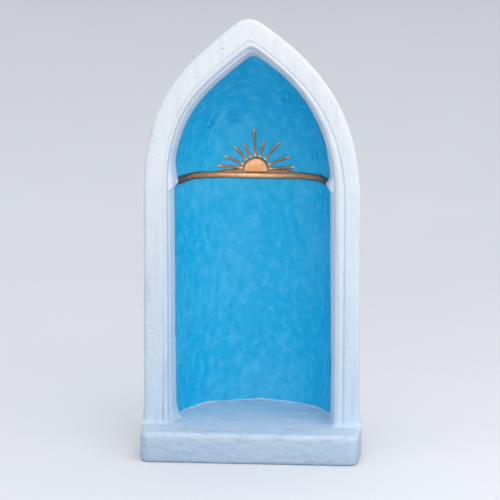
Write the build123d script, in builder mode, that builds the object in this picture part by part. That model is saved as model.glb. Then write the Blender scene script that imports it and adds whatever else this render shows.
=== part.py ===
from build123d import *
import os
from math import acos, cos, degrees, hypot, radians, sin, sqrt

# A statue grotto: a moulded lancet surround on a slab, in front of a half-round niche with a
# pointed half-dome for a head, and a sun that rises over a horizon band inside the niche.
# Millimetres. x runs to the viewer's right, the front faces -y, and z = 0 is the ground.
# The origin is the middle of the overall width and depth, on the ground.

# Overall sizes
total_height = 762.0
surround_width = 378.0
surround_depth = 47.0
strike_radius = 325.0
crown_radius = 20.0
mitre_overrun = 2.0
outer_edge_radius = 6.0
back_edge_radius = 4.0
foot_flare = 4.5
foot_flare_height = 60.0

# Mouldings of the surround, from the outer edge towards the opening
face_width = 29.0
face_edge_radius = 1.5
groove_depth = 4.5
roll_width = 14.0
roll_setback = 0.6
roll_inner_depth = 5.5
quirk_width = 3.0
quirk_depth = 13.0
lip_width = 1.0
lip_depth = 11.5
reveal_width = 4.0

# Niche
lining_thickness = 3.0
wall_thickness = 21.0
bedding = 0.3
floor_thickness = 10.0
cove_radius = 4.0

# Plinth
plinth_height = 52.0
plinth_projection = 70.0
plinth_margin = 1.5
plinth_taper = 6.0
plinth_corner_radius = 14.0
plinth_edge_radius = 9.0

# Imposts, the small corbels that grow out of the reveal where the horizon band meets it
impost_shoulder = 20.0
impost_height = 24.0
impost_nose_height = 13.0
impost_nose_radius = 4.0
impost_reach = 7.0
impost_bearing = 9.0
impost_setback = 8.0
impost_tail = 9.0

# Horizon band: its wavy centre line as (share of the opening's half width, share of the wave) pairs
band_above_spring = 13.0
band_height = 12.5
band_proud = 6.0
wave_height = 3.5
band_wave = ((-1.0, -0.3), (-0.78, 1.0), (-0.5, 0.6), (-0.2, 0.0), (0.14, 0.0), (0.6, 0.4), (1.0, -0.4))

# Sun, the low bed that it rises from, and its rays from left to right
sun_offset = -3.0
sun_radius = 25.0
sun_proud = 6.5
sun_edge_radius = 4.0
sun_bed_width = 152.0
sun_bed_height = 4.5
sun_bed_proud = 2.5
ray_angles = (169, 153, 132, 112, 93, 73, 50, 27, 10)
ray_reaches = (70, 64, 60, 55, 78, 56, 66, 67, 71)
ray_gap = 1.5
ray_root_width = 4.0
ray_tip_width = 5.5
ray_proud = 3.6

# Stars as (share of the opening's half width, share of the hood's height), and their size
star_places = ((-0.64, 0.47), (-0.33, 0.51), (0.41, 0.68), (0.8, 0.24))
star_points = 5
star_radius = 11.5
star_waist_radius = 5.2
star_proud = 3.0

# Sizes that follow from the ones above
half_width = surround_width / 2
strike_offset = strike_radius - half_width
rise = sqrt(strike_radius**2 - strike_offset**2)
spring_height = total_height - rise + crown_radius * (strike_radius / rise - 1)
roll_outer = half_width - face_width
roll_inner = roll_outer - roll_width
quirk_inner = roll_inner - quirk_width
lip_inner = quirk_inner - lip_width
opening_radius = lip_inner - reveal_width
bed_radius = opening_radius + lining_thickness
shell_inner = bed_radius + bedding
shell_outer = shell_inner + wall_thickness
base_radius = shell_outer + plinth_margin
plinth_half = half_width + foot_flare + plinth_margin
plinth_front_half = plinth_half - plinth_taper
front_y = -(plinth_projection + surround_depth + base_radius) / 2
face_y = front_y + plinth_projection
niche_y = face_y + surround_depth
band_level = spring_height + band_above_spring
band_top = band_level + band_height / 2
sun_level = band_top + bedding
flare_radius = (foot_flare_height**2 + foot_flare**2) / (2 * foot_flare)
hood_height = sqrt((strike_offset + opening_radius) ** 2 - strike_offset**2)
niche_plane = Plane(origin=(0, niche_y, 0), x_dir=(1, 0, 0), z_dir=(0, -1, 0))
niche_axis = Axis((0, niche_y, 0), (0, 0, 1))
face_plane = Plane(origin=(0, face_y, 0), x_dir=(1, 0, 0), z_dir=(0, -1, 0))
spring_plane = Plane.XY.offset(spring_height)
pieces = []


def keep(part, label):
    part.label = label
    pieces.append(part)


def sweep_angle(radius):
    """Angle at the striking centre from the spring line to the crown, for an arch of this half width."""
    return degrees(acos(strike_offset / (strike_offset + radius)))


def crown_height(radius):
    """Height at which the two sides of an arch of this half width meet."""
    return spring_height + sqrt((strike_offset + radius) ** 2 - strike_offset**2)


def jamb_profile(height):
    """Plan of the right jamb: flat face, fine groove, roll, quirk and reveal."""
    face_corner = (roll_outer + face_edge_radius, face_y)
    groove_top = (roll_outer, face_y + face_edge_radius)
    groove_foot = (roll_outer, face_y + groove_depth)
    roll_crest = (roll_outer - roll_width / 2, face_y + roll_setback)
    roll_foot = (roll_inner, face_y + roll_inner_depth)
    quirk_foot = (quirk_inner, face_y + quirk_depth)
    lip = (lip_inner, face_y + lip_depth)
    reveal_foot = (opening_radius, niche_y)
    with BuildSketch(Plane.XY.offset(height)) as profile:
        with BuildLine():
            Polyline(reveal_foot, (half_width, niche_y), (half_width, face_y), face_corner)
            RadiusArc(face_corner, groove_top, face_edge_radius)
            Line(groove_top, groove_foot)
            ThreePointArc(groove_foot, roll_crest, roll_foot)
            Polyline(roll_foot, quirk_foot, lip, reveal_foot)
        make_face()
    return profile.sketch


def niche_layer(inner, outer):
    """Half-round wall with its pointed half-dome, as thick as the two radii differ."""
    with BuildPart() as layer:
        with BuildSketch(niche_plane):
            with BuildLine():
                Line((inner, plinth_height), (outer, plinth_height))
                Line((outer, plinth_height), (outer, spring_height))
                CenterArc((-strike_offset, spring_height), strike_offset + outer, 0, sweep_angle(outer))
                Line((0, crown_height(outer)), (0, crown_height(inner)))
                CenterArc((-strike_offset, spring_height), strike_offset + inner, 0, sweep_angle(inner))
                Line((inner, spring_height), (inner, plinth_height))
            make_face()
        revolve(axis=niche_axis, revolution_arc=180)
    return layer.part


def relief(label, outline, proud, clear_of=(), edge_radius=0):
    """Raised figure on the curved niche: a flat outline, set upright and cut to an even thickness."""
    thickness = niche_layer(opening_radius - proud, opening_radius - bedding)
    with BuildPart() as figure:
        with BuildSketch(niche_plane):
            add(outline)
        extrude(amount=-bed_radius)
        add(thickness, mode=Mode.INTERSECT)
        for neighbour in clear_of:
            add(neighbour, mode=Mode.SUBTRACT)
        if edge_radius:
            level_with_it = (0, niche_y, figure.part.center().Z)
            front = figure.faces().sort_by_distance(level_with_it)[0]
            fillet(front.edges(), radius=edge_radius)
    keep(figure.part, label)


def half_disc(radius):
    """Plan of the niche at one radius, behind the surround."""
    with BuildSketch() as plan:
        with Locations((0, niche_y)):
            Circle(radius)
            Rectangle(2 * radius, radius, align=(Align.CENTER, Align.MAX), mode=Mode.SUBTRACT)
    return plan.sketch


def threshold(half):
    """Plan of the floor between the jambs."""
    with BuildSketch() as plan:
        with Locations((0, (face_y + niche_y) / 2)):
            Rectangle(2 * half, surround_depth)
    return plan.sketch


def on_outline(edge):
    """Whether an edge runs along the surround's outer outline, rather than along its mouldings."""
    middle = edge.position_at(0.5)
    above = max(middle.Z - spring_height, 0)
    return hypot(abs(middle.X) + strike_offset, above) > strike_radius - face_edge_radius


# Surround: one moulding that rises up the jamb and turns about the arch's striking centre
with BuildPart() as surround:
    add(jamb_profile(plinth_height))
    extrude(amount=spring_height - plinth_height)
    with BuildSketch(face_plane):
        with BuildLine():
            flare_foot = (half_width + foot_flare, plinth_height)
            flare_top = (half_width, plinth_height + foot_flare_height)
            Polyline(flare_top, (half_width, plinth_height), flare_foot)
            RadiusArc(flare_foot, flare_top, flare_radius)
        make_face()
    extrude(amount=-surround_depth)
    add(jamb_profile(spring_height))
    arch_axis = Axis((-strike_offset, 0, spring_height), (0, -1, 0))
    revolve(axis=arch_axis, revolution_arc=sweep_angle(half_width) + mitre_overrun)
    split(bisect_by=Plane.YZ, keep=Keep.TOP)
    mirror(about=Plane.YZ)
    fillet(surround.edges().filter_by(Axis.Y).sort_by(Axis.Z)[-1], radius=crown_radius)
    for depth, radius in ((face_y, outer_edge_radius), (niche_y, back_edge_radius)):
        rim = surround.edges().filter_by_position(Axis.Y, depth, depth).filter_by(on_outline)
        fillet(rim, radius=radius)

for side, side_kept in (("left", Keep.BOTTOM), ("right", Keep.TOP)):
    for member, height_kept in (("jamb", Keep.BOTTOM), ("arch", Keep.TOP)):
        with BuildPart() as limb:
            add(surround.part)
            split(bisect_by=Plane.YZ, keep=side_kept)
            split(bisect_by=spring_plane, keep=height_kept)
        keep(limb.part, f"{side}_{member}")

# Plinth: a rounded step that narrows a little in front of the surround, and a base that follows
# the shell behind it
with BuildPart() as plinth:
    with BuildSketch():
        with BuildLine():
            Line((-plinth_half, face_y), (plinth_half, face_y))
            Line((plinth_half, face_y), (plinth_front_half, front_y))
            Line((plinth_front_half, front_y), (-plinth_front_half, front_y))
            Line((-plinth_front_half, front_y), (-plinth_half, face_y))
        step = make_face()
        fillet(step.vertices().group_by(Axis.Y)[0], radius=plinth_corner_radius)
    extrude(amount=plinth_height)
    step_top = plinth.faces().sort_by(Axis.Z)[-1].edges()
    fillet(step_top.sort_by(Axis.Y)[:-1], radius=plinth_edge_radius)
    add(threshold(plinth_half))
    add(half_disc(base_radius))
    extrude(amount=plinth_height)
    with BuildSketch(Plane.XY.offset(plinth_height - floor_thickness)):
        add(threshold(opening_radius))
        add(half_disc(opening_radius))
    extrude(amount=floor_thickness, mode=Mode.SUBTRACT)
keep(plinth.part, "plinth")

# Floor that a statue stands on, let into the plinth flush with its top
cove_outer = opening_radius - bedding
cove_inner = cove_outer - cove_radius
with BuildPart() as niche_floor:
    with BuildSketch(Plane.XY.offset(plinth_height - floor_thickness)):
        add(threshold(opening_radius))
        add(half_disc(cove_inner))
    extrude(amount=floor_thickness)
keep(niche_floor.part, "niche_floor")

# Cove round the floor, where it turns up against the wall
cove_foot = plinth_height - floor_thickness
cove_top = plinth_height + cove_radius
with BuildPart() as floor_cove:
    with BuildSketch(niche_plane):
        with BuildLine():
            Polyline((cove_inner, plinth_height), (cove_inner, cove_foot), (cove_outer, cove_foot))
            Line((cove_outer, cove_foot), (cove_outer, cove_top))
            RadiusArc((cove_outer, cove_top), (cove_inner, plinth_height), cove_radius)
        make_face()
    revolve(axis=niche_axis, revolution_arc=180)
keep(floor_cove.part, "floor_cove")

# Shell of the niche, and the thin coloured lining inside it, each parted at the spring line
for inner, outer, wall_name, hood_name in (
    (shell_inner, shell_outer, "niche_wall", "niche_hood"),
    (opening_radius, bed_radius, "wall_lining", "hood_lining"),
):
    layer = niche_layer(inner, outer)
    for label, height_kept in ((wall_name, Keep.BOTTOM), (hood_name, Keep.TOP)):
        with BuildPart() as shell:
            add(layer)
            split(bisect_by=spring_plane, keep=height_kept)
        keep(shell.part, label)

# Imposts: a corbel with a rounded nose, set on the reveal and cut to the moulding behind it
impost_top = band_top
impost_nose = opening_radius - impost_reach
impost_back = roll_inner + impost_bearing / 2
lining_layer = niche_layer(opening_radius, shell_outer)
with BuildPart() as impost:
    with BuildSketch(Plane(origin=(0, face_y + impost_setback, 0), x_dir=(1, 0, 0), z_dir=(0, -1, 0))):
        with BuildLine():
            Polyline(
                (impost_back, impost_top + impost_shoulder),
                (opening_radius, impost_top + impost_shoulder),
                (impost_nose, impost_top),
                (impost_nose, impost_top - impost_nose_height),
                (impost_back, impost_top - impost_height),
                close=True,
            )
        corbel = make_face()
        fillet(corbel.vertices().group_by(Axis.X)[0], radius=impost_nose_radius)
    extrude(amount=-(surround_depth - impost_setback + impost_tail))
    add(surround.part, mode=Mode.SUBTRACT)
    add(lining_layer, mode=Mode.SUBTRACT)
left_impost = mirror(impost.part, about=Plane.YZ)
keep(left_impost, "left_impost")
keep(impost.part, "right_impost")

# Horizon band: a wavy strand that runs round the niche from impost to impost
with BuildSketch() as band_outline:
    with BuildLine():
        upper = [(share * opening_radius, band_top + lift * wave_height) for share, lift in band_wave]
        lower = [(x, z - band_height) for x, z in reversed(upper)]
        Spline(*upper)
        Line(upper[-1], lower[0])
        Spline(*lower)
        Line(lower[-1], upper[0])
    make_face()
relief("horizon_band", band_outline.sketch, band_proud, clear_of=(left_impost, impost.part))

# Sun: half a disc on its bed, with a fan of rays that swell to round tips
with BuildSketch() as disc_outline:
    with Locations((sun_offset, sun_level)):
        Circle(sun_radius)
        Rectangle(2 * sun_radius, sun_radius, align=(Align.CENTER, Align.MAX), mode=Mode.SUBTRACT)
    add(band_outline.sketch, mode=Mode.SUBTRACT)
relief("sun_disc", disc_outline.sketch, sun_proud, edge_radius=sun_edge_radius)

ray_outlines = []
for angle, reach in zip(ray_angles, ray_reaches):
    along = (cos(radians(angle)), sin(radians(angle)))
    root = sun_radius + ray_gap + ray_root_width / 2
    tip = reach - ray_tip_width / 2
    with BuildSketch() as ray:
        with Locations((sun_offset + root * along[0], sun_level + root * along[1])):
            Circle(ray_root_width / 2)
        with Locations((sun_offset + tip * along[0], sun_level + tip * along[1])):
            Circle(ray_tip_width / 2)
        make_hull()
    ray_outlines.append(ray.sketch)
for number, outline in enumerate(ray_outlines, start=1):
    relief(f"sun_ray_{number}", outline, ray_proud)

with BuildSketch() as bed_outline:
    with Locations((sun_offset, sun_level)):
        Rectangle(sun_bed_width, 2 * sun_bed_height)
    add(band_outline.sketch, mode=Mode.SUBTRACT)
    add(disc_outline.sketch, mode=Mode.SUBTRACT)
    for outline in ray_outlines:
        add(outline, mode=Mode.SUBTRACT)
relief("sun_bed", bed_outline.sketch, sun_bed_proud)

# Stars, raised a little from the blue
for number, (across, up) in enumerate(star_places, start=1):
    middle = (across * opening_radius, spring_height + up * hood_height)
    step = radians(180 / star_points)
    corners = []
    for turn in range(2 * star_points):
        reach = star_waist_radius if turn % 2 else star_radius
        corners.append((middle[0] + reach * sin(turn * step), middle[1] + reach * cos(turn * step)))
    with BuildSketch() as star:
        with BuildLine():
            Polyline(*corners, close=True)
        make_face()
    relief(f"star_{number}", star.sketch, star_proud)

os.makedirs("parts", exist_ok=True)
for piece in pieces:
    export_step(piece, f"parts/{piece.label}.step")
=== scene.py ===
# %% [markdown]
# # A statue grotto in painted cement
# The real thing is one casting: a moulded lancet surround on a slab, with a half-round niche behind it.
# It is painted white outside and blue inside, and a sun in rubbed bronze rises over a band in the niche.
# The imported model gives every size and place. This lesson lays softer, hand-made surfaces over it, in
# the same frame, and then paints them.

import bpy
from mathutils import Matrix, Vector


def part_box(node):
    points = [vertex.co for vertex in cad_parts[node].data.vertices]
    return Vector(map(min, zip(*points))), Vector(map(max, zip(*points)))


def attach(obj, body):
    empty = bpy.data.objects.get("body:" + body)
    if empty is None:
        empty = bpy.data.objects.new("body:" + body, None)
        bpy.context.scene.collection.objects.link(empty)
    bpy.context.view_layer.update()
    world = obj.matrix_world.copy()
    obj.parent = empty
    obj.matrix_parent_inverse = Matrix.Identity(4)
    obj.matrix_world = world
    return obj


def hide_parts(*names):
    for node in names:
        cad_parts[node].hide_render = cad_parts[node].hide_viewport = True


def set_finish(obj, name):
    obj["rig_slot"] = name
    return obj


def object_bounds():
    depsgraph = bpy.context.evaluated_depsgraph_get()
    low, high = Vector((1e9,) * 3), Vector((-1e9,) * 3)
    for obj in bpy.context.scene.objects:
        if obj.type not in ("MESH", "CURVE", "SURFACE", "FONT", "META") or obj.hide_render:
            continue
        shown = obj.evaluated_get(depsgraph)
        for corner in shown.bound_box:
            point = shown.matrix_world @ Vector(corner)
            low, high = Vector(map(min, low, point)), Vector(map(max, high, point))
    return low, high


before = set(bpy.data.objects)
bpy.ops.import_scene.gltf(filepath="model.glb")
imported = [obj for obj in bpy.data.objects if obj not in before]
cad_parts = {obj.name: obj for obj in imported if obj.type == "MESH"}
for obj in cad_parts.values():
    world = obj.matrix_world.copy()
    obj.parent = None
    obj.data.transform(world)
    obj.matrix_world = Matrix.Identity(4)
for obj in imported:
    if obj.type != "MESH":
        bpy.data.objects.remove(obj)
cad_box = [list(corner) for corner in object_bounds()]
print("packed model's box, metres:", cad_box)

# %% [markdown]
# ## Measures that come from the model
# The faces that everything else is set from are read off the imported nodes, so that nothing here has to
# be fitted by eye: the surround's front and back, the slab's top, and the slab's own outline. The rest
# of the lesson works in millimetres and turns them into metres only when a mesh is made.

# %% Read the main faces off the nodes
import math

import bpy
from mathutils import Vector, noise

MM = 0.001
jamb_low, jamb_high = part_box("left_jamb")
plinth_low, plinth_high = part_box("plinth")
shell_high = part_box("niche_wall")[1]
FACE = jamb_low.y / MM
NICHE = jamb_high.y / MM
SLAB_TOP = plinth_high.z / MM
SLAB_FRONT = plinth_low.y / MM
SLAB_HALF = plinth_high.x / MM
BASE_RADIUS = plinth_high.y / MM - NICHE
SHELL_RADIUS = shell_high.x / MM
TOP = cad_box[1][2] / MM
print(f"face y {FACE:.1f}, niche y {NICHE:.1f}, slab top {SLAB_TOP:.1f}, top {TOP:.1f} mm")

# %% [markdown]
# ## Lancets
# Every moulding of the surround follows a pointed arch. Each side of such an arch is a straight jamb
# and then one circular arc, struck from a centre on the spring line. The real casting was carved by
# hand before it was moulded, so its two sides differ by a few millimetres, and each arc is fuller at
# the haunch and straighter near the crown than a compass would draw it. Each side therefore has its
# own width, spring height and haunch, and the arc's centre is worked out so that both reach the crown.

# %% Points along one lancet
FOOT_STEPS = (-1.5, 0, 0.3, 0.9, 1.8, 3, 4.6, 6.6, 9, 13, 20, 30, 42)
JAMB_ROWS = 34
ARCH_ROWS = 60


def half_lancet(foot, width, spring, haunch, crown_out, crown_up):
    """One side from foot to crown, as (distance out, height), with the foot's rows close together."""
    points = []
    height = spring - SLAB_TOP
    rises = list(FOOT_STEPS)
    for row in range(1, JAMB_ROWS + 1):
        rises.append(FOOT_STEPS[-1] + (height - FOOT_STEPS[-1]) * row / JAMB_ROWS)
    for up in rises:
        points.append((foot + (width - foot) * up / height, SLAB_TOP + up))
    rise = crown_up - spring
    centre = (crown_out**2 + rise**2 - width**2) / (2 * (width - crown_out))
    radius = centre + width
    sweep = math.acos((crown_out + centre) / radius)
    for row in range(1, ARCH_ROWS + 1):
        turn = sweep * row / ARCH_ROWS
        reach = radius + haunch * math.sin(2 * math.pi * (row / ARCH_ROWS) ** 1.5)
        points.append((reach * math.cos(turn) - centre, spring + reach * math.sin(turn)))
    return points


def lancet(left, right, crown, softened):
    """Both sides as one run of (x, z) from the left foot to the right, with the crown rubbed round."""
    left_side = [(-out, up) for out, up in half_lancet(*left, -crown[0], crown[1])]
    right_side = half_lancet(*right, crown[0], crown[1])
    run = [Vector(point) for point in left_side + right_side[-2::-1]]
    middle = len(left_side) - 1
    away = [(point - run[middle]).length for point in run]
    near = [i for i, distance in enumerate(away) if distance < softened]
    first, tip, last = run[near[0]].copy(), run[middle].copy(), run[near[-1]].copy()
    for i in near:
        signed = -away[i] if i < middle else away[i]
        share = min(max((signed + softened) / (2 * softened), 0), 1)
        keep_left = (1 - share) ** 2
        keep_right = share**2
        run[i] = first * keep_left + tip * (1 - keep_left - keep_right) + last * keep_right
    return run


# Each side: half width at the foot, half width at the spring line, spring height, haunch.
# Then the crown's place before it is rubbed round, and how far the rubbing reaches.
OUTER = lancet((191.4, 188.4, 462, 4.1), (191.5, 188.6, 450, 2.1), (-6.1, TOP + 5.8), 29)
GROOVE = lancet((156.9, 153.9, 469, 3.8), (162.2, 161.9, 444, 2.1), (-2.6, 724.5), 15)
ROLL = lancet((148.5, 147.2, 469, 3.5), (145.8, 145.2, 462, 1.2), (-1.0, 714.5), 11)
BLUE = lancet((138.3, 139.9, 469, 3.3), (140.4, 135.6, 478, 0.4), (-0.1, 700.9), 11.5)
crowns = [round(max(point.y for point in run), 1) for run in (OUTER, BLUE)]
print("lancet points:", len(OUTER), "crowns:", crowns)

# %% [markdown]
# ## Turning rows of points into a piece
# All the masonry here is made of rows of points that are joined with four-sided faces, like a fishing
# net laid over a form. That keeps every moulding's edge where it belongs, which sculpting or remeshing
# would blur. One helper joins the rows, shades them smooth and stores how hollow each point counts as,
# because the paint later uses that for painted shade in grooves, creases and low sides, and on the
# bronze for its dark edges and painted highlights.


# %% A net of points becomes a mesh
def net_mesh(name, rows, hollow=None, ring=False, flip=False):
    """A mesh object from rows of points in millimetres. A ring joins a row's last point to its first."""
    wide = len(rows[0])
    corners = [tuple(c * MM for c in point) for row in rows for point in row]
    faces = []
    for r in range(len(rows) - 1):
        for c in range(wide if ring else wide - 1):
            after = (c + 1) % wide
            face = (r * wide + c, r * wide + after, (r + 1) * wide + after, (r + 1) * wide + c)
            faces.append(face[::-1] if flip else face)
    mesh = bpy.data.meshes.new(name)
    mesh.from_pydata(corners, [], faces)
    depth = mesh.attributes.new("hollow", "FLOAT", "POINT")
    values = [value for row in hollow for value in row] if hollow else [0.0] * len(corners)
    depth.data.foreach_set("value", values)
    mesh.shade_smooth()
    piece = bpy.data.objects.new(name, mesh)
    bpy.context.scene.collection.objects.link(piece)
    return piece


# %% [markdown]
# ## Hand-made surfaces
# Cement that was trowelled, cast and painted by hand is never flat. A little smooth noise pushes every
# point in or out along its own normal, once in long soft waves and once in small lumps. The noise is a
# fixed function of the point's place, so the same surface comes out every time.


# %% Waves and lumps along the normals
def make_uneven(piece, waves, wave_size, lumps, lump_size):
    """Push each point along its normal by up to so many millimetres, and keep it in the model's box."""
    mesh = piece.data
    normals = [vertex.normal.copy() for vertex in mesh.vertices]
    low, high = cad_box
    for vertex, normal in zip(mesh.vertices, normals):
        place = vertex.co / MM
        push = waves * noise.noise(place / wave_size) + lumps * noise.noise(place / lump_size)
        moved = vertex.co + normal * push * MM
        vertex.co = [min(max(moved[i], low[i]), high[i]) for i in range(3)]
    mesh.update()
    return piece


pieces = {}


def keep(piece, slot, *nodes):
    """Let the piece ride on the part's one body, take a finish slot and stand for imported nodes."""
    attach(piece, "root")
    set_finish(piece, slot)
    if nodes:
        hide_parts(*nodes)
    pieces[piece.name] = piece
    print(f"{piece.name}: {len(piece.data.polygons)} faces")


# %% [markdown]
# ## The moulded surround
# From the outside in, the moulding has a rounded outer edge, a broad flat face, a fine groove, a roll,
# a narrow quirk and the reveal. A profile could be swept along one curve, but the real mouldings draw
# together towards the crown. So the profile is stretched between four lancets instead: each point of it
# names two lancets, how far it lies from one to the other, and how deep it lies behind the face.

# %% The profile as shares between lancets
SURROUND_DEPTH = NICHE - FACE
EDGE_RADIUS = 6.0
FACE_WIDTH = 29.0

# Each point: share of the way between two lancets, depth behind the face, how hollow it is. The hollow is
# painted shade in the groove, the quirk and behind the reveal.
over_face = [(0.85, SURROUND_DEPTH, 0.3), (0.14, SURROUND_DEPTH, 0), (0.06, SURROUND_DEPTH - 0.4, 0),
             (0.015, SURROUND_DEPTH - 1.6, 0)]
over_face += [(0, depth, 0) for depth in (43, 38, 30, 22, 14, 9)]
for turn in [math.radians(15 * step) for step in range(7)]:
    inwards = EDGE_RADIUS * (1 - math.cos(turn)) / FACE_WIDTH
    over_face.append((inwards, EDGE_RADIUS * (1 - math.sin(turn)), 0))
over_face += [(0.32, -0.4, 0), (0.5, -0.6, 0), (0.7, -0.4, 0), (0.84, -0.2, 0), (0.915, 0, 0),
              (0.94, 0.3, 0.15), (0.97, 1.1, 0.45), (1, 1.8, 0.7)]
over_roll = [(0.1, 1.5, 0.5), (0.2, 0.6, 0.2), (0.3, 0, 0), (0.4, -0.2, 0), (0.5, 0.1, 0), (0.64, 0.8, 0),
             (0.78, 1.8, 0), (0.9, 3.2, 0.1), (1, 5.2, 0.4)]
down_reveal = [(0.1, 8.5, 0.8), (0.2, 11.5, 1), (0.3, 12, 0.9), (0.38, 12.2, 0.5), (0.46, 13.5, 0.2),
               (0.55, 16.5, 0.1), (0.66, 22, 0), (0.78, 30, 0), (0.88, 38, 0), (0.96, 43.5, 0),
               (1, SURROUND_DEPTH, 0.3), (0.7, SURROUND_DEPTH + 1.5, 0.3), (0.2, SURROUND_DEPTH + 1, 0)]
profile = [(OUTER, GROOVE, *point) for point in over_face]
profile += [(GROOVE, ROLL, *point) for point in over_roll]
profile += [(ROLL, BLUE, *point) for point in down_reveal]
print("profile points:", len(profile))

# %% [markdown]
# At its foot the surround runs into the slab with a small cove, and the groove and the quirk die out
# there. The left jamb also leans into the opening a little, and its groove is worn so shallow that it
# only shows near the foot, where the face is dished towards it. So each point is moved by an amount
# that depends on its height and its side.

# %% Stretch the profile along the lancets
FOOT_COVE = 8.0
FILL_HEIGHT = 5.0
SPREAD, SPREAD_HEIGHT = 3.2, 45.0
LEFT_PINCH, RIGHT_PINCH, PINCH_HEIGHT = 9.0, 2.0, 34.0
DISH_DEPTH, DISH_HEIGHT = 2.2, 150.0
WORN_TO = 0.25
CLEAR_BELOW, CLEAR_ABOVE, CLEAR_OVER = 190.0, 520.0, 120.0
FRONT_DEPTH = 14.0


def surround_point(row, place):
    """One point of the surround: a row of the profile at one place along the lancets."""
    outer_run, inner_run, share, depth, hollow = profile[row]
    side = -1 if place < len(OUTER) / 2 else 1
    flat = outer_run[place].lerp(inner_run[place], share)
    above = max(flat.y - SLAB_TOP, 0)
    near_foot = max(1 - above / FOOT_COVE, 0)
    cove = FOOT_COVE * (1 - math.sqrt(max(1 - near_foot**2, 0)))
    fill = max(0, 1 - above / FILL_HEIGHT)
    in_groove = 0 < depth < 3 and hollow > 0 and outer_run is not ROLL
    if in_groove and side < 0:
        worn = WORN_TO + (1 - WORN_TO) * max(0, 1 - above / CLEAR_BELOW)
        if flat.y >= CLEAR_ABOVE:
            worn = min(1, WORN_TO + (flat.y - CLEAR_ABOVE) / CLEAR_OVER)
        depth, hollow = depth * worn, hollow * worn
    if depth < FRONT_DEPTH:
        depth = depth * (1 - fill) - cove
        hollow *= 1 - fill
    if outer_run is OUTER and share < 0.02:
        flat.x += side * SPREAD * max(0, 1 - above / SPREAD_HEIGHT) ** 2
    # Painted shade: the dished face near the left foot is also marked hollow, so it is painted darker.
    if outer_run is OUTER and share > 0.7 and depth < 3 and side < 0:
        dished = max(0, 1 - above / DISH_HEIGHT) * (1 - fill) * min(1, (share - 0.7) / 0.25) ** 1.5
        depth += DISH_DEPTH * dished
        hollow = max(hollow, 0.55 * dished)
    if outer_run is ROLL and share > 0.4:
        pinch = (LEFT_PINCH if side < 0 else RIGHT_PINCH) * max(0, 1 - above / PINCH_HEIGHT) ** 2
        flat.x -= side * (pinch + 0.3 * cove) * (share - 0.4) / 0.6
    return (flat.x, FACE + depth, flat.y), hollow


rows, hollows = [], []
for place in range(len(OUTER)):
    made = [surround_point(row, place) for row in range(len(profile))]
    rows.append([point for point, hollow in made])
    hollows.append([hollow for point, hollow in made])
surround = net_mesh("surround", rows, hollows, ring=True)
make_uneven(surround, waves=0.5, wave_size=42, lumps=0.16, lump_size=8)
keep(surround, "white_paint", "left_jamb", "right_jamb", "left_arch", "right_arch")

# %% [markdown]
# ## The niche
# In plan the niche is half a circle, as wide as the opening at every height, so its top is a pointed
# half-dome. One function gives the point of its wall at an angle and a height. The blue wall, the cove
# and the whole sun relief are laid on with it, so each of them follows the same curved face.


# %% A point on the niche's wall
def edges_at(lancet_run, height):
    """Left and right edge of a lancet at one height."""
    middle = len(lancet_run) // 2
    sides = []
    for run in (lancet_run[: middle + 1], lancet_run[:middle - 1:-1]):
        x = run[0].x if height < run[0].y else run[-1].x
        for lower, upper in zip(run, run[1:]):
            if lower.y <= height <= upper.y:
                share = (height - lower.y) / max(upper.y - lower.y, 1e-6)
                x = lower.x + (upper.x - lower.x) * share
                break
        sides.append(x)
    return sides


def wall_point(turn, height, lift=0.0):
    """The wall's point at an angle from the right jamb and a height, lifted off it towards the axis."""
    left, right = edges_at(BLUE, height)
    half = (right - left) / 2
    centre = (right + left) / 2
    reach = half - lift
    return Vector((centre + reach * math.cos(turn), NICHE + reach * math.sin(turn), height))


def turn_at(x, height):
    """Angle at which the wall lies straight behind this x."""
    left, right = edges_at(BLUE, height)
    share = (x - (right + left) / 2) / ((right - left) / 2)
    return math.acos(min(max(share, -1), 1))


# %% The blue wall and half-dome
WALL_COLUMNS = 132
EVEN_ROWS, ROW_STEP = 104, 4.0
crown_place = len(BLUE) // 2
wall_heights = [SLAB_TOP - 1 + ROW_STEP * step for step in range(EVEN_ROWS)]
wall_heights += [point.y for point in BLUE[:crown_place + 1] if point.y > wall_heights[-1] + 2]
rows = []
for height in wall_heights:
    rows.append([wall_point(math.pi * c / WALL_COLUMNS, height) for c in range(WALL_COLUMNS + 1)])
blue_wall = net_mesh("blue_wall", rows)
make_uneven(blue_wall, waves=0.9, wave_size=34, lumps=0.8, lump_size=9)
keep(blue_wall, "blue_paint", "wall_lining", "hood_lining")

# %% [markdown]
# ## The shell behind
# Nobody looks at the back of a garden grotto, but it is there: the same half-round form again, a wall's
# thickness further out, that runs into the surround with a soft cove. Its first columns follow that
# cove, and its lowest rows spread a little onto the slab.

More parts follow.
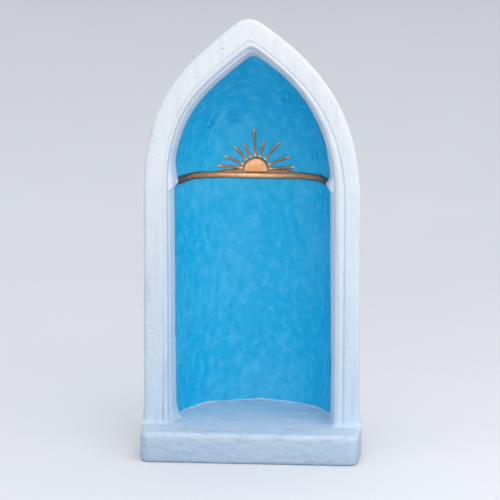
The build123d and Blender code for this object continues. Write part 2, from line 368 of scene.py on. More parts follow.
# %% The outer shell
COVE = 9.0
SHELL_SPRING = 468
SHELL_COLUMNS = 72
FOOT_SPREAD, FOOT_RISE = 3.4, 9
hood_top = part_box("niche_hood")[1].z / MM
shell_side = (SHELL_RADIUS, SHELL_RADIUS, SHELL_SPRING, 0)
SHELL = lancet(shell_side, shell_side, (0, hood_top + 1), 6)
cove_steps = (0, 0.5, 1.5, 3, 5, 7, COVE)
shell_middle = len(SHELL) // 2
rows = []
for right in SHELL[: shell_middle + 1]:
    half = max(-right.x, 0.01)
    above = right.y - SLAB_TOP
    spread = FOOT_SPREAD * max(0, 1 - above / FOOT_RISE) ** 2
    start = math.asin(min(COVE / (half + spread), 1))
    turns = [math.asin(min(step / (half + spread), 1)) for step in cove_steps]
    turns += [start + (math.pi - 2 * start) * c / SHELL_COLUMNS for c in range(1, SHELL_COLUMNS)]
    turns += [math.pi - turn for turn in turns[len(cove_steps) - 1::-1]]
    row = []
    for turn in turns:
        behind = (half + spread) * math.sin(turn)
        near = max(0, 1 - behind / COVE)
        swell = COVE * (1 - math.sqrt(max(1 - near**2, 0))) * min(1, half / 30)
        up = swell * min(1, max(0, right.y - SHELL_SPRING) / 230)
        reach = half + spread + swell
        row.append((reach * math.cos(turn), NICHE + behind, min(right.y + up, TOP - 4)))
    rows.append(row)
shell = net_mesh("shell", rows, flip=True)
make_uneven(shell, waves=0.7, wave_size=46, lumps=0.25, lump_size=12)
keep(shell, "white_paint", "niche_wall", "niche_hood")

# %% [markdown]
# ## The slab
# The slab reaches out in front of the surround as a step, which narrows a little towards the front as
# castings do so that they leave the mould, and follows the shell behind it. Its plan is drawn once as a
# closed line, with the direction that points outwards at each place. Copies of that line, moved in and
# up, make the worn bottom edge, the sides and the rounded top edge, and smaller copies fill in the flat
# top and the underside. The sides count as hollow, most at the bottom, so they are painted darker than
# the top as painted shade.

# %% The slab's plan
CORNER = 17.0
SHOULDER = 4.0
TAPER = 6.0
FRONT_HALF = SLAB_HALF - TAPER


def arc(centre, radius, start, end, count):
    """Points on a circle between two angles in degrees, both ends included."""
    angles = [math.radians(start + (end - start) * i / count) for i in range(count + 1)]
    return [Vector((centre[0] + radius * math.cos(a), centre[1] + radius * math.sin(a))) for a in angles]


def straight(start, end, count):
    """Points between two places, with neither end."""
    return [Vector(start).lerp(Vector(end), i / count) for i in range(1, count)]


half_plan = arc((0, NICHE), BASE_RADIUS, 90, 3, 60)
half_plan += [Vector((BASE_RADIUS + 2, NICHE + 3)), Vector((BASE_RADIUS + 6, NICHE + 0.6))]
half_plan += straight((BASE_RADIUS + 6, NICHE), (SLAB_HALF - SHOULDER, NICHE), 6)
half_plan += arc((SLAB_HALF - SHOULDER, NICHE - SHOULDER), SHOULDER, 90, 0, 6)
half_plan += straight((SLAB_HALF, NICHE - SHOULDER), (SLAB_HALF, FACE), 12)
half_plan.append(Vector((SLAB_HALF, FACE)))
half_plan += straight((SLAB_HALF, FACE), (FRONT_HALF, SLAB_FRONT + CORNER), 20)
half_plan += arc((FRONT_HALF - CORNER, SLAB_FRONT + CORNER), CORNER, 0, -90, 12)
half_plan += straight((FRONT_HALF - CORNER, SLAB_FRONT), (0, SLAB_FRONT), 60)
plan = half_plan + [Vector((0, SLAB_FRONT))] + [Vector((-p.x, p.y)) for p in half_plan[:0:-1]]
outward = []
for i, point in enumerate(plan):
    along = plan[(i + 1) % len(plan)] - plan[i - 1]
    outward.append(Vector((-along.y, along.x)).normalized())
print("plan points:", len(plan))

# %% The slab's rows
SLAB_MIDDLE = Vector((0, SLAB_FRONT + 50))
TOP_ROWS = 45


def slab_row(height, inset_of):
    """The plan moved inwards at one height."""
    row = []
    for point, out in zip(plan, outward):
        inset, drop = inset_of(point)
        moved = point - out * inset
        row.append((moved.x, moved.y, height - drop))
    return row


def shrunk(row, share, height):
    """A smaller copy of a row about the slab's middle, laid flat at one height."""
    middle = SLAB_MIDDLE.y
    return [(x * share, middle + (y - middle) * share, height) for x, y, z in row]


def top_edge(turn):
    """Inset and drop on the rounded top edge, which is broad in front and sharp under the surround."""
    def inset_of(point):
        front = min(max((FACE - 2 - point.y) / 12, 0), 1)
        radius = 1.2 + 7.8 * front
        return radius * (1 - math.cos(turn)), radius * (1 - math.sin(turn))
    return inset_of


rows = []
under = slab_row(0, lambda p: (6.5, 0))
rows += [shrunk(under, share, 0) for share in (0, 0.35, 0.7, 0.9)] + [under]
for inset, height in ((4, 0.3), (2.2, 1.2), (0.9, 3), (0.2, 5.5), (0, 8.5)):
    rows.append(slab_row(height, lambda p, inset=inset: (inset, 0)))
rows += [slab_row(height, lambda p: (0, 0)) for height in (13, 18, 23, 28, 33, 38)]
# Painted shade: the slab's sides are marked darker than its top, most at the bottom.
side_shade = [1.0] * 10 + [0.95, 0.9, 0.85, 0.8, 0.75, 0.7]
rows += [slab_row(SLAB_TOP, top_edge(math.radians(15 * step))) for step in range(7)]
rim = rows[-1]
rows += [shrunk(rim, 1 - step / TOP_ROWS, SLAB_TOP) for step in range(1, TOP_ROWS + 1)]
side_shade += [0.5, 0.35, 0.2, 0.1] + [0.0] * (len(rows) - len(side_shade) - 4)
slab = net_mesh("slab", rows, [[mud] * len(plan) for mud in side_shade], ring=True)
make_uneven(slab, waves=0.55, wave_size=40, lumps=0.5, lump_size=7)
keep(slab, "white_paint", "plinth", "niche_floor")

# %% [markdown]
# ## The cove at the niche's foot
# Where the floor meets the blue wall the white turns up in a small cove. Its upper rim was painted by
# hand, so the line between white and blue wanders by a millimetre or two and stands a little proud.

# %% The cove
COVE_REACH = 5.0
rim_line = ((-1, 0), (-0.85, 1.6), (-0.74, 3.2), (-0.65, 3.6), (-0.47, 1.2), (-0.29, -0.4), (-0.12, 1.2),
            (0.01, 3.2), (0.3, 1.0), (0.59, 1.2), (0.85, 2.4), (1, 3.4))


def eased(line, share):
    """The height that a drawn line of (share, height) places has at one share."""
    for (start, low), (end, high) in zip(line, line[1:]):
        if start <= share <= end:
            t = (share - start) / (end - start)
            return low + (high - low) * t * t * (3 - 2 * t)
    return line[0][1] if share < line[0][0] else line[-1][1]


rows, hollows = [], []
for step in range(11):
    turn = math.radians(9 * step)
    row = []
    for c in range(WALL_COLUMNS + 1):
        around = math.pi * c / WALL_COLUMNS
        rise = max(eased(rim_line, math.cos(around)) - 1.2, 0.2)
        lift = COVE_REACH * (1 - math.sin(turn)) + 1.0
        row.append(wall_point(around, SLAB_TOP - 0.6 + rise * (1 - math.cos(turn)), lift))
    rows.append(row)
    # Painted shade: the middle of the cove's bend is marked hollow, so it is painted darker.
    hollows.append([0.3 * math.sin(2 * turn)] * (WALL_COLUMNS + 1))
rim = rows[-1]
for lift, rise in ((1.7, 0.2), (1.7, 1.3), (1.1, 2.1), (-0.3, 2.5), (-2, 2.4)):
    rows.append([wall_point(math.pi * c / WALL_COLUMNS, p.z + rise, lift) for c, p in enumerate(rim)])
    hollows.append([0.0] * (WALL_COLUMNS + 1))
cove = net_mesh("cove", rows, hollows)
make_uneven(cove, waves=0.4, wave_size=25, lumps=0.3, lump_size=7)
keep(cove, "white_paint", "floor_cove")

# %% [markdown]
# ## Imposts
# Where the horizon band ends, each reveal carries a small corbel. It is not a separate lump: the reveal
# swells out slowly from above, comes to a blunt nose beside the band's end, and is cut off underneath at
# about 45 degrees. So it is made as a skin over the reveal, pushed out by an amount that grows downwards
# and drops away at the slanting cut.

# %% A skin that swells over each reveal
band_low, band_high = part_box("horizon_band")
BAND_LEVEL = (band_low.z + band_high.z) / 2 / MM - 1.0
NOSE_PROUD = 7.5
CUT_BACK, CUT_FRONT = 4.5, 16.0
reveal = [(share, depth) for outer_run, inner_run, share, depth, hollow in profile
          if outer_run is ROLL and 0.5 <= share and depth <= SURROUND_DEPTH]
reveal = [(0.2, 10.5), (0.4, 12.0)] + reveal + [(1.0, SURROUND_DEPTH + 6), (1.0, SURROUND_DEPTH + 9)]


def corbel_point(side, place, up, nose_level, swell_height):
    """A point of the corbel's skin at one place across the reveal and one height above the nose."""
    share, depth = reveal[place]
    across = place / (len(reveal) - 1)
    height = nose_level + up
    outer_x, inner_x = [edges_at(run, height)[0 if side < 0 else 1] for run in (ROLL, BLUE)]
    x = outer_x + (inner_x - outer_x) * share
    cut = -CUT_BACK - (CUT_FRONT - CUT_BACK) * (1 - across) ** 1.3
    swell = max(0, 1 - max(up, 0) / swell_height) ** 2
    under = 1 - min(max((cut - up) / 2.2, 0), 1) ** 1.5
    nose = math.sqrt(max(0, 1 - (max(0, 3 - (up - cut)) / 3) ** 2))
    front = math.sin(math.pi * min(across / 0.55, 0.5)) ** 0.7
    back = 1 - max(0, (across - 0.86) / 0.14) ** 2
    proud = NOSE_PROUD * swell * under * (0.55 + 0.45 * nose) * front * back * (0.5 + 0.5 * across)
    hidden = -1.2 if under < 0.02 or across in (0, 1) else -0.25
    # Painted shade: under the slanting cut the skin is marked hollow, so it is painted darker.
    hollow = 0.5 * (1 - under) if up > cut - 3 else 0
    return (x - side * (proud + hidden), FACE + depth, height), hollow


# Name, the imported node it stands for, side, height of the nose, and how far up the swelling reaches.
corbels = (("left_corbel", "left_impost", -1, BAND_LEVEL - 1.5, 44),
           ("right_corbel", "right_impost", 1, BAND_LEVEL - 4.5, 14))
for name, node, side, level, swell_height in corbels:
    steps = [swell_height * (1 - i / 22) ** 1.2 for i in range(22)] + [-0.7 * i for i in range(36)]
    rows, hollows = [], []
    for up in steps:
        made = [corbel_point(side, place, up, level, swell_height) for place in range(len(reveal))]
        rows.append([point for point, hollow in made])
        hollows.append([hollow for point, hollow in made])
    piece = net_mesh(name, rows, hollows, flip=side > 0)
    make_uneven(piece, waves=0.3, wave_size=18, lumps=0.15, lump_size=6)
    keep(piece, "white_paint", node)

# %% [markdown]
# ## The horizon band
# The band is a thick strand of bronze that rolls gently from corbel to corbel. Its centre line rises
# and falls by a few millimetres, and its section is half an ellipse that bulges off the wall.

# %% The band
band_wave = ((-1, -3.5), (-0.8, 2.4), (-0.5, 1.8), (-0.2, 0.2), (0.14, -0.4), (0.6, 0.9), (0.85, -0.4),
             (1, -6))
BAND_HALF = 6.2
BAND_PROUD = 5.8
BAND_COLUMNS = 160

rows, hollows = [], []
for step in range(13):
    turn = math.radians(-90 + 15 * step)
    row, deep = [], []
    for c in range(BAND_COLUMNS + 1):
        around = math.pi * c / BAND_COLUMNS
        beside = abs(math.cos(around))
        level = BAND_LEVEL + eased(band_wave, math.cos(around))
        thick = 1 + 0.1 * noise.noise(Vector((around * 9, 0, 4)))
        ends = 1 + 0.2 * beside**6
        height = level + BAND_HALF * thick * ends * math.sin(turn)
        lift = BAND_PROUD * thick * math.cos(turn) ** 0.8 - 0.6 if step not in (0, 12) else -0.8
        row.append(wall_point(around, height, lift))
        # Painted shade darkens the band's upper and lower edges, its underside and its two ends, with the
        # antique brown along the edges; a painted highlight lightens its crest.
        under = max(0, -math.sin(turn))
        rubbed = 0.2 * math.cos(turn) ** 3 * (1 - beside**2)
        dark = 0.9 * abs(math.sin(turn)) ** 3 + 1.05 * beside**3.5 + 0.2 * under
        deep.append(min(1, dark) - rubbed)
    rows.append(row)
    hollows.append(deep)
band = net_mesh("horizon", rows, hollows, flip=True)
make_uneven(band, waves=0.25, wave_size=14, lumps=0.15, lump_size=5)
keep(band, "bronze_paint", "horizon_band")

# %% [markdown]
# ## The sun
# The sun is half a disc, domed like a cushion and edged by a dark line. It sits on a low bed, and nine
# rays fan out from it: slim ridges that swell to a round tip. No two are the same length. Each figure
# is drawn flat, as seen from the front, and lifted off the curved wall.

# %% Figures laid on the wall
SUN_X = -4.4
SUN_LEVEL = BAND_LEVEL + BAND_HALF + 1.8
SUN_RADIUS = 26.2
SUN_PROUD = 7.5
SUN_RINGS, SUN_COLUMNS = 14, 48
SUN_LINE = 0.84


def on_wall(x, height, lift):
    """The point that a flat drawing's place takes on the niche's wall."""
    return wall_point(turn_at(x, height), height, lift)


rows, hollows = [], []
for ring_step in range(SUN_RINGS + 1):
    share = ring_step / SUN_RINGS
    reach = SUN_RADIUS * share
    dome = math.sqrt(max(1 - share**2.2, 0))
    lift = SUN_PROUD * (0.15 + 0.85 * dome) if ring_step < SUN_RINGS else -0.8
    row = []
    for c in range(SUN_COLUMNS + 1):
        turn = math.pi * c / SUN_COLUMNS
        row.append(on_wall(SUN_X + reach * math.cos(turn), SUN_LEVEL + reach * math.sin(turn), lift))
    rows.append(row)
    worn = 0.14 - 0.22 * min(1, share / 0.8) ** 3
    line = max(0, (share - SUN_LINE) / (1 - SUN_LINE)) ** 0.7
    hollows.append([worn if share < SUN_LINE else max(worn, line)] * (SUN_COLUMNS + 1))
disc = net_mesh("sun", rows, hollows)
make_uneven(disc, waves=0.25, wave_size=12, lumps=0.12, lump_size=5)
keep(disc, "bronze_paint", "sun_disc")

# %% The low bed under the rays
BED_HALF = 75.0
BED_COLUMNS = 90
rows, hollows = [], []
for up, lift in ((0, 2.6), (0.3, 2.8), (0.6, 2.6), (0.85, 1.9), (1, 0.6), (1.05, -0.6)):
    row = []
    for c in range(BED_COLUMNS + 1):
        share = -1 + 2 * c / BED_COLUMNS
        tall = 5.0 * (1 - abs(share) ** 5) + 0.8 * noise.noise(Vector((share * 6, 1, 2)))
        fall = 1 - abs(share) ** 6
        height = SUN_LEVEL - 2.5 + up * (tall + 2.5)
        row.append(on_wall(SUN_X + BED_HALF * share, height, lift * fall - 0.4))
    rows.append(row)
    hollows.append([0.4 + 0.35 * min(1, 1.2 * up)] * (BED_COLUMNS + 1))
bed = net_mesh("sun_bed_low", rows, hollows, flip=True)
keep(bed, "bronze_paint", "sun_bed")

# %% [markdown]
# A ray is a row of half-round sections along a straight line. Their width and height grow towards the
# tip, and the last few sections close it like a fingertip. The metal is painted bright on the tips, as
# rubbed metal and painted highlight, and dark where the ray meets the wall, as antique brown and
# painted shade.

# %% Nine rays
RAY_TIPS = ((-75.2, 501.5), (-62.2, 518.5), (-44.5, 536.5), (-26, 542.5), (-6.9, 570), (12.5, 546.5),
            (40.5, 544), (59.5, 518.5), (69.5, 498.5))
RAY_PROUD = 3.6
RAY_STEPS, RAY_COLUMNS = 22, 10


def ray(number, tip):
    """One ray from just inside the sun's rim to its tip."""
    root_centre = Vector((SUN_X, SUN_LEVEL + 2))
    way = (Vector(tip) - root_centre).normalized()
    across = Vector((-way.y, way.x))
    start = root_centre + way * (SUN_RADIUS - 1.5)
    length = (Vector(tip) - start).length
    rows, hollows = [], []
    for step in range(RAY_STEPS + 1):
        share = step / RAY_STEPS
        rounded = max(math.sqrt(max(1 - max(0, (share - 0.93) / 0.07) ** 2, 0)), 0.05)
        near_tip = max(0, share - 0.8) / 0.2
        near_root = max(0, 0.2 - share) / 0.2
        wide = (2.2 + 0.4 * share + 0.6 * near_tip + 1.8 * near_root) * rounded
        wobble = 0.5 * noise.noise(Vector((share * 3, number * 1.7, 5)))
        middle = start + way * length * share + across * wobble
        row, deep = [], []
        ends = max(near_tip, near_root)
        middle_dark = 0.35 * max(0, 1 - abs(share - 0.45) / 0.35)
        for c in range(RAY_COLUMNS + 1):
            turn = math.pi * c / RAY_COLUMNS
            crest = math.sin(turn)
            place = middle + across * wide * math.cos(turn)
            lift = RAY_PROUD * (0.8 + 0.25 * share) * rounded * crest - 0.5
            row.append(on_wall(place.x, place.y, lift))
            # Painted shade with antique brown along the edges; painted highlight on the crest at the tip
            # and the root.
            dark = 1.5 * (1 - crest) ** 0.9 * (1 - 0.5 * ends) + middle_dark
            deep.append(min(1, dark) - 0.45 * crest * ends)
        rows.append(row)
        hollows.append(deep)
    piece = net_mesh(f"ray_{number}", rows, hollows)
    keep(piece, "bronze_paint", f"sun_ray_{number}")


for number, tip in enumerate(RAY_TIPS, start=1):
    ray(number, tip)

# %% [markdown]
# ## Stars
# Four small stars are scattered over the half-dome. They are painted the same blue as the wall, so only
# their low relief shows. Each has five points, with a ridge down every point and a soft edge. The ones
# near the jambs were pressed flat onto the curve, so from the front they look narrower.

# %% Four stars
# Each star: distance out, height, tilt in degrees, and how much narrower it is than tall.
STAR_PLACES = ((-87, 579, 20, 0.8), (-45, 588.5, -14, 1), (57, 628, 10, 1), (107.5, 524.6, 4, 0.6))
STAR_RADIUS = 13.0
STAR_WAIST = 5.4
STAR_PROUD = 4.2
STAR_COLUMNS = 40
# Each ring: share of the star's reach, lift as a share of the proud height, and how dark it is painted.
# The dark edge ring is painted shade where the star meets the wall.
STAR_RINGS = ((0, 1, 0), (0.35, 0.95, 0), (0.7, 0.85, 0), (0.88, 0.6, 0.1), (0.98, 0.15, 1),
              (1.12, -0.2, 0.8))


def star(number, x, height, tilt, narrowed):
    """A five-pointed star laid on the wall, from its middle outwards."""
    rows, hollows = [], []
    for share, lift, deep in STAR_RINGS:
        row = []
        for c in range(STAR_COLUMNS):
            turn = 2 * math.pi * c / STAR_COLUMNS + math.radians(tilt)
            phase = abs(((c * 5 / STAR_COLUMNS + 0.5) % 1) - 0.5) * 2
            reach = 1 / ((1 - phase) / STAR_RADIUS + phase / STAR_WAIST) * share
            ridge = STAR_PROUD * lift * (1 - 0.35 * phase * min(1, share * 2))
            aside = narrowed * reach * math.sin(turn)
            row.append(on_wall(x + aside, height + reach * math.cos(turn), ridge))
        rows.append(row)
        hollows.append([deep] * STAR_COLUMNS)
    piece = net_mesh(f"star_relief_{number}", rows, hollows, ring=True, flip=True)
    keep(piece, "blue_paint", f"star_{number}")


for number, (x, height, tilt, narrowed) in enumerate(STAR_PLACES, start=1):
    star(number, x, height, tilt, narrowed)

# %% [markdown]
# ## Small tools for node trees
# Paint is made of shader nodes. A few helpers keep that readable: one places a node and fills or links
# its sockets in a single call, one starts a node group with named inputs and outputs, and the others
# mix two colours, stretch a value or do one step of arithmetic.


# %% Helpers for nodes
def put(tree, kind, sockets=(), **settings):
    """Place a node, set its properties, and link or fill the named sockets."""
    node = tree.nodes.new(kind)
    for key, value in settings.items():
        setattr(node, key, value)
    for key, value in dict(sockets).items():
        if isinstance(value, bpy.types.NodeSocket):
            tree.links.new(value, node.inputs[key])
        else:
            node.inputs[key].default_value = value
    return node


def start_group(name, inputs, outputs):
    """A node group with sockets from {name: (type, default)} and {name: type}."""
    tree = bpy.data.node_groups.new(name, "ShaderNodeTree")
    for socket, (kind, default) in inputs.items():
        made = tree.interface.new_socket(socket, in_out="INPUT", socket_type="NodeSocket" + kind)
        made.default_value = default
    for socket, kind in outputs.items():
        tree.interface.new_socket(socket, in_out="OUTPUT", socket_type="NodeSocket" + kind)
    return tree, put(tree, "NodeGroupInput").outputs, put(tree, "NodeGroupOutput").inputs


def mix_colour(tree, share, first, second, blend="MIX"):
    """Mix two colours and give back the result's socket."""
    sockets = {0: share, 6: first, 7: second}
    return put(tree, "ShaderNodeMix", sockets, data_type="RGBA", blend_type=blend).outputs[2]


def between(tree, value, low, high, to_low=0.0, to_high=1.0):
    """Stretch a value from one range to another, clamped at both ends."""
    sockets = {"Value": value, "From Min": low, "From Max": high, "To Min": to_low, "To Max": to_high}
    return put(tree, "ShaderNodeMapRange", sockets).outputs[0]


def sums(tree, operation, first, second):
    """One step of arithmetic on two values or sockets."""
    return put(tree, "ShaderNodeMath", {0: first, 1: second}, operation=operation).outputs[0]


# %% [markdown]
# ## Brush marks
# House paint on rough cement dries in streaks that follow the brush. Noise that is stretched along the
# stroke gives them. The stroke's direction is an input, because the jambs were brushed up and down and
# the slab from side to side.

# %% Group: brush marks
tree, given, out = start_group(
    "brush marks",
    {"Place": ("Vector", (0, 0, 0)), "Across": ("Vector", (160, 160, 14)), "Wander": ("Float", 0.4)},
    {"Streaks": "Float", "Fine": "Float"},
)
vector_math = "ShaderNodeVectorMath"
place = given["Place"]
drift = put(tree, "ShaderNodeTexNoise", {"Vector": place, "Scale": 9.0, "Detail": 2.0}).outputs["Color"]
bent = put(tree, vector_math, {0: drift, "Scale": given["Wander"]}, operation="SCALE").outputs[0]
stretched = put(tree, vector_math, {0: place, 1: given["Across"]}, operation="MULTIPLY").outputs[0]
stroke = put(tree, vector_math, {0: stretched, 1: bent}, operation="ADD").outputs[0]
broad = put(tree, "ShaderNodeTexNoise", {"Vector": stroke, "Scale": 0.6, "Detail": 3.0})
fine = put(tree, "ShaderNodeTexNoise", {"Vector": stroke, "Scale": 2.6, "Detail": 2.0})
tree.links.new(broad.outputs["Fac"], out["Streaks"])
tree.links.new(fine.outputs["Fac"], out["Fine"])
brush_marks = tree

# %% [markdown]
# ## Cast cement under the paint
# Cement keeps the sand's grain and small air holes from the mould, and paint only softens them. The
# grain is fine noise, and the holes are the dark middles of scattered cells, of which a mask lets only
# some through.

# %% Group: cement grain and pits
tree, given, out = start_group(
    "cement grain",
    {"Place": ("Vector", (0, 0, 0)), "Grain": ("Float", 420.0), "Pits": ("Float", 150.0),
     "Share": ("Float", 0.6)},
    {"Height": "Float", "Pit": "Float", "Lumps": "Float"},
)
place = given["Place"]
sand = put(tree, "ShaderNodeTexNoise", {"Vector": place, "Scale": given["Grain"], "Detail": 3.0})
lumps = put(tree, "ShaderNodeTexNoise", {"Vector": place, "Scale": 70.0, "Detail": 4.0, "Roughness": 0.62})
cells = put(tree, "ShaderNodeTexVoronoi", {"Vector": place, "Scale": given["Pits"], "Randomness": 1.0})
patch = put(tree, "ShaderNodeTexNoise", {"Vector": place, "Scale": 30.0, "Detail": 2.0})
some = between(tree, patch.outputs["Fac"], given["Share"], sums(tree, "ADD", given["Share"], 0.08))
hole = between(tree, cells.outputs["Distance"], 0.1, 0.34, 1.0, 0.0)
pit = sums(tree, "MULTIPLY", hole, some)
raised = sums(tree, "ADD", sums(tree, "MULTIPLY", sand.outputs["Fac"], 0.35), lumps.outputs["Fac"])
tree.links.new(sums(tree, "SUBTRACT", raised, sums(tree, "MULTIPLY", pit, 0.9)), out["Height"])
tree.links.new(pit, out["Pit"])
tree.links.new(lumps.outputs["Fac"], out["Lumps"])
cement_grain = tree

# %% [markdown]
# ## Paint tone
# The same paint is never one colour. It is painted deeper in the hollows, as painted shade, thinner over
# the lumps, and drifts softly over a hand's breadth. This group mixes three tones of one paint by masks
# that the material hands it.

# %% Group: paint tone
tree, given, out = start_group(
    "paint tone",
    {"Place": ("Vector", (0, 0, 0)), "Main": ("Color", (1, 1, 1, 1)), "Light": ("Color", (1, 1, 1, 1)),
     "Deep": ("Color", (1, 1, 1, 1)), "Streaks": ("Float", 0.5), "Hollow": ("Float", 0.0),
     "Drift": ("Float", 0.5), "Strength": ("Float", 1.0)},
    {"Color": "Color"},
)
cloud = put(tree, "ShaderNodeTexNoise", {"Vector": given["Place"], "Scale": 7.0, "Detail": 3.0})
lightened = between(tree, cloud.outputs["Fac"], 0.42, 0.68)
tone = mix_colour(tree, sums(tree, "MULTIPLY", lightened, given["Drift"]), given["Main"], given["Light"])
streak = between(tree, given["Streaks"], 0.5, 0.72)
tone = mix_colour(tree, sums(tree, "MULTIPLY", streak, given["Strength"]), tone, given["Light"])
shade = between(tree, given["Streaks"], 0.46, 0.3)
shaded = sums(tree, "MULTIPLY", shade, sums(tree, "MULTIPLY", given["Strength"], 0.5))
tone = mix_colour(tree, shaded, tone, given["Deep"])
# Painted shade: the hollow mask mixes the paint towards its deep tone.
tone = mix_colour(tree, given["Hollow"], tone, given["Deep"])
tree.links.new(tone, out["Color"])
paint_tone = tree


# %% Start a material with the shared inputs
def start_material(name):
    """A node material, its tree, its principled shader and the object's own coordinates."""
    material = bpy.data.materials.new(name)
    material.use_nodes = True
    tree = material.node_tree
    shader = tree.nodes["Principled BSDF"]
    return material, tree, shader, put(tree, "ShaderNodeTexCoord").outputs["Object"]


def hollow_mask(tree):
    """How dark each point is to be painted, as stored in the mesh: mostly painted shade in hollows and
    creases.
    """
    return put(tree, "ShaderNodeAttribute", attribute_name="hollow").outputs["Fac"]


def place_groups(tree, place, across, tones, strength, drift):
    """The three shared groups in one material, set for one brush and one paint."""
    brush, cement, tone = [put(tree, "ShaderNodeGroup", {"Place": place}, node_tree=group)
                           for group in (brush_marks, cement_grain, paint_tone)]
    brush.inputs["Across"].default_value = across
    for socket, colour in zip(("Main", "Light", "Deep"), tones):
        tone.inputs[socket].default_value = (*colour, 1)
    tone.inputs["Strength"].default_value = strength
    tone.inputs["Drift"].default_value = drift
    tree.links.new(brush.outputs["Streaks"], tone.inputs["Streaks"])
    return brush, cement, tone


# %% [markdown]
# ## White paint
# The outside has a matt white with a cool cast. Brush marks and cement grain both go into the bump, at
# their own depths, and the hollows of the mouldings are painted a shade greyer, as settled dust and
# painted shade. Towards the foot the paint turns greyer and bluer than at the crown, as painted shade.


# %% White paint
WHITE_TONES = ((0.80, 0.82, 0.85), (0.87, 0.88, 0.89), (0.50, 0.56, 0.65))
# The foot tint is painted shade: the cool blue-grey that the white turns towards low down.
FOOT_SHADE_TINT = (0.70, 0.83, 0.945, 1)
SHADE_FADE_HEIGHT = 0.62


def white_paint(name, across, grit, strength, pits):
    """White paint, brushed in one direction over cement. Fewer patches have pits as pits goes up."""
    material, tree, shader, place = start_material(name)
    brush, cement, tone = place_groups(tree, place, across, WHITE_TONES, strength, 0.5)
    cement.inputs["Share"].default_value = pits
    # Painted shade, with some settled dust in the grooves: the stored hollows and the pits mix the white
    # towards its deep tone.
    dust_and_shade = sums(tree, "MULTIPLY", hollow_mask(tree), 0.45)
    pitted = sums(tree, "MULTIPLY", cement.outputs["Pit"], 0.5)
    tree.links.new(sums(tree, "MAXIMUM", dust_and_shade, pitted), tone.inputs["Hollow"])
    # Painted shade: below the fade height the white is mixed towards the cool foot tint.
    up = put(tree, "ShaderNodeSeparateXYZ", {0: place}).outputs["Z"]
    low_shade = mix_colour(tree, between(tree, up, 0.0, SHADE_FADE_HEIGHT), FOOT_SHADE_TINT, (1, 1, 1, 1))
    colour = mix_colour(tree, 1.0, tone.outputs["Color"], low_shade, "MULTIPLY")
    tree.links.new(colour, shader.inputs["Base Color"])
    height = sums(tree, "ADD", sums(tree, "MULTIPLY", brush.outputs["Streaks"], 0.5),
                  sums(tree, "MULTIPLY", cement.outputs["Height"], grit))
    bump = put(tree, "ShaderNodeBump", {"Height": height, "Strength": 0.8, "Distance": 0.0018})
    tree.links.new(bump.outputs["Normal"], shader.inputs["Normal"])
    tree.links.new(between(tree, brush.outputs["Fine"], 0.3, 0.7, 0.5, 0.72), shader.inputs["Roughness"])
    shader.inputs["Specular IOR Level"].default_value = 0.35
    return material


white_upright = white_paint("white paint, brushed upwards", across=(150, 150, 14), grit=1.0,
                            strength=0.5, pits=0.64)
white_slab = white_paint("white paint on the slab", across=(40, 110, 260), grit=2.4,
                         strength=1.0, pits=0.66)
white_shell = white_paint("white paint on the shell", across=(70, 70, 24), grit=1.2,
                          strength=0.25, pits=0.6)

# %% [markdown]
# ## Blue paint
# The niche is a clear sky blue with a soft sheen. The trowel left flat lumps in the wall, and the brush
# caught on them, so light and deep patches show more than on the white.


# %% Blue paint
BLUE_TONES = ((0.02, 0.50, 0.80), (0.13, 0.59, 0.87), (0.0, 0.37, 0.66))


def blue_paint():
    """Blue paint with visible brushwork over trowelled cement."""
    material, tree, shader, place = start_material("blue paint")
    brush, cement, tone = place_groups(tree, place, (110, 110, 85), BLUE_TONES, 0.6, 0.4)
    brush.inputs["Wander"].default_value = 5.0
    # Painted shade: the stored hollows, here the stars' edges, mix the blue towards its deep tone.
    tree.links.new(sums(tree, "MULTIPLY", hollow_mask(tree), 0.8), tone.inputs["Hollow"])
    tree.links.new(tone.outputs["Color"], shader.inputs["Base Color"])
    streaks = sums(tree, "MULTIPLY", brush.outputs["Streaks"], 0.7)
    height = sums(tree, "ADD", streaks, cement.outputs["Lumps"])
    bump = put(tree, "ShaderNodeBump", {"Height": height, "Strength": 0.9, "Distance": 0.0035})
    tree.links.new(bump.outputs["Normal"], shader.inputs["Normal"])
    sheen = between(tree, cement.outputs["Lumps"], 0.35, 0.65, 0.42, 0.6)
    tree.links.new(sheen, shader.inputs["Roughness"])
    shader.inputs["Specular IOR Level"].default_value = 0.18
    return material


blue = blue_paint()

# %% [markdown]
# ## Rubbed bronze
# The relief was painted with a copper-gold metallic paint over a dark brown, then rubbed back, so that
# the crests shine and the edges stay dark. The hollow mask drives that change, broken up by noise; it
# also carries painted shade at the edges and ends and painted highlights on crests and tips.


# %% Bronze paint
def bronze_paint():
    """Copper-gold paint, rubbed bright on the crests and dark in the hollows, with painted highlight and
    shade.
    """
    material, tree, shader, place = start_material("bronze paint")
    speckle = {"Vector": place, "Scale": 190.0, "Detail": 4.0, "Roughness": 0.65}
    broken = put(tree, "ShaderNodeTexNoise", speckle)
    uneven = between(tree, broken.outputs["Fac"], 0.3, 0.7, -0.16, 0.16)
    shifted = sums(tree, "ADD", hollow_mask(tree), uneven)
    # Dark antique brown and painted shade, rubbed copper and painted highlight, both from the stored mask.
    dark = between(tree, shifted, 0.25, 0.95)
    rubbed = between(tree, shifted, 0.1, -0.25)
    metal = mix_colour(tree, rubbed, (0.76, 0.32, 0.12, 1), (0.94, 0.60, 0.36, 1))
    colour = mix_colour(tree, dark, metal, (0.10, 0.065, 0.055, 1))
    tree.links.new(colour, shader.inputs["Base Color"])
    tree.links.new(between(tree, dark, 0, 1, 0.4, 0.1), shader.inputs["Metallic"])
    tree.links.new(between(tree, dark, 0, 1, 0.38, 0.62), shader.inputs["Roughness"])
    relief = {"Height": broken.outputs["Fac"], "Strength": 0.5, "Distance": 0.0008}
    bump = put(tree, "ShaderNodeBump", relief)
    tree.links.new(bump.outputs["Normal"], shader.inputs["Normal"])
    return material


bronze = bronze_paint()

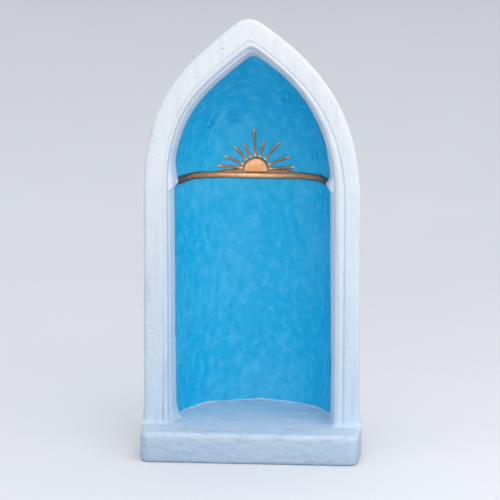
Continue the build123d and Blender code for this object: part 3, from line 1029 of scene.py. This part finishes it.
# %% Paint the pieces
paints = {"white_paint": white_upright, "blue_paint": blue, "bronze_paint": bronze}
own_paints = {"slab": white_slab, "cove": white_slab, "shell": white_shell}
for name, piece in pieces.items():
    piece.data.materials.append(own_paints.get(name, paints[piece["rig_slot"]]))
print("painted", len(pieces), "pieces")

# %% [markdown]
# ## Stage, light and camera
# The grotto stands on a plain pale floor, and far off a pale wall runs all round it. The camera sees the
# floor pale, and so do mirrored rays, but it throws back a little less and bluer light, as ground in the
# shade would. A soft lamp high on the right in front gives the main light and falls off towards the foot,
# and a broad low one on the right reaches the left reveal. A wide one far in front softens the niche,
# and a cool sky fills the rest from above. The camera stands where the photographer stood: a little to
# the right, at about two and a quarter metres, with a long lens.


# %% Floor and wall
def seen_rays(tree):
    """A mask of the rays that show a thing: straight to the camera, off a mirror or through glass."""
    path = put(tree, "ShaderNodeLightPath").outputs
    indirect = sums(tree, "MAXIMUM", path["Is Glossy Ray"], path["Is Transmission Ray"])
    return sums(tree, "MAXIMUM", path["Is Camera Ray"], indirect)


def circle(radius, height):
    """A ring of points round the grotto, in millimetres."""
    turns = [math.radians(6 * i) for i in range(60)]
    return [(radius * math.cos(turn), radius * math.sin(turn), height) for turn in turns]


FLOOR_RADIUS, BEND, WALL_TOP = 2800, 3000, 6000
floor = net_mesh("floor", [circle(radius, 0) for radius in (1, 400, 1200, 2000, FLOOR_RADIUS)], ring=True)
bend = []
for turn in [math.radians(degrees) for degrees in range(0, 91, 6)]:
    bend.append(circle(FLOOR_RADIUS + BEND * math.sin(turn), BEND * (1 - math.cos(turn))))
wall = net_mesh("wall", bend + [circle(FLOOR_RADIUS + BEND, WALL_TOP)], ring=True)
wall.visible_diffuse = wall.visible_glossy = wall.visible_shadow = False
material, tree, shader, place = start_material("stage")
grey = put(tree, "ShaderNodeTexNoise", {"Vector": place, "Scale": 2.0, "Detail": 2.0})
pale = mix_colour(tree, grey.outputs["Fac"], (0.80, 0.80, 0.81, 1), (0.84, 0.84, 0.85, 1))
seen = seen_rays(tree)
tree.links.new(mix_colour(tree, seen, (0.48, 0.53, 0.59, 1), pale), shader.inputs["Base Color"])
shader.inputs["Roughness"].default_value = 0.9
for piece in (floor, wall):
    piece.data.materials.append(material)

# %% Light
SKY_LOW, SKY_HIGH = 0.36, 1.15
SKY_SHOWN = 0.95
world = bpy.data.worlds.new("studio")
bpy.context.scene.world = world
world.use_nodes = True
tree = world.node_tree
towards = put(tree, "ShaderNodeTexCoord").outputs["Generated"]
upwards = put(tree, "ShaderNodeSeparateXYZ", {0: towards}).outputs["Z"]
overhead = between(tree, upwards, 0, 1, SKY_LOW, SKY_HIGH)
seen = seen_rays(tree)
sky = tree.nodes["Background"]
tree.links.new(mix_colour(tree, seen, (0.90, 0.94, 1.0, 1), (1, 1, 1, 1)), sky.inputs["Color"])
shown = sums(tree, "MULTIPLY", seen, SKY_SHOWN)
tree.links.new(sums(tree, "MAXIMUM", overhead, shown), sky.inputs["Strength"])


def lamp(name, place, aim, size, power, colour):
    """A square soft lamp that points at a place."""
    data = bpy.data.lights.new(name, "AREA")
    data.size = size
    data.energy = power
    data.color = colour
    thing = bpy.data.objects.new(name, data)
    thing.location = place
    thing.rotation_euler = (Vector(aim) - Vector(place)).to_track_quat("-Z", "Y").to_euler()
    bpy.context.scene.collection.objects.link(thing)


lamp("key", (0.5, -1.45, 1.5), (0, 0, 0.55), size=0.8, power=5.4, colour=(1.0, 0.97, 0.93))
lamp("low", (1.6, -1.0, 0.8), (0, 0, 0.5), size=1.2, power=9, colour=(1.0, 0.99, 0.97))
lamp("front", (-0.3, -3.3, 0.85), (0, 0, 0.5), size=1.4, power=20, colour=(0.95, 0.975, 1.0))

# %% Camera
camera_data = bpy.data.cameras.new("camera")
EYE_DISTANCE, EYE_HEIGHT = 2.2423, 0.6407
camera_data.sensor_width = 36.0
camera_data.lens = 93.7
camera = bpy.data.objects.new("camera", camera_data)
bpy.context.scene.collection.objects.link(camera)
camera.location = (0.1647, FACE * MM - EYE_DISTANCE, EYE_HEIGHT)
aim = Vector((-0.00166, FACE * MM, 0.3635)) - camera.location
camera.rotation_mode = "QUATERNION"
camera.rotation_quaternion = aim.to_track_quat("-Z", "Y")
bpy.context.scene.camera = camera
bpy.context.scene.view_settings.view_transform = "Standard"
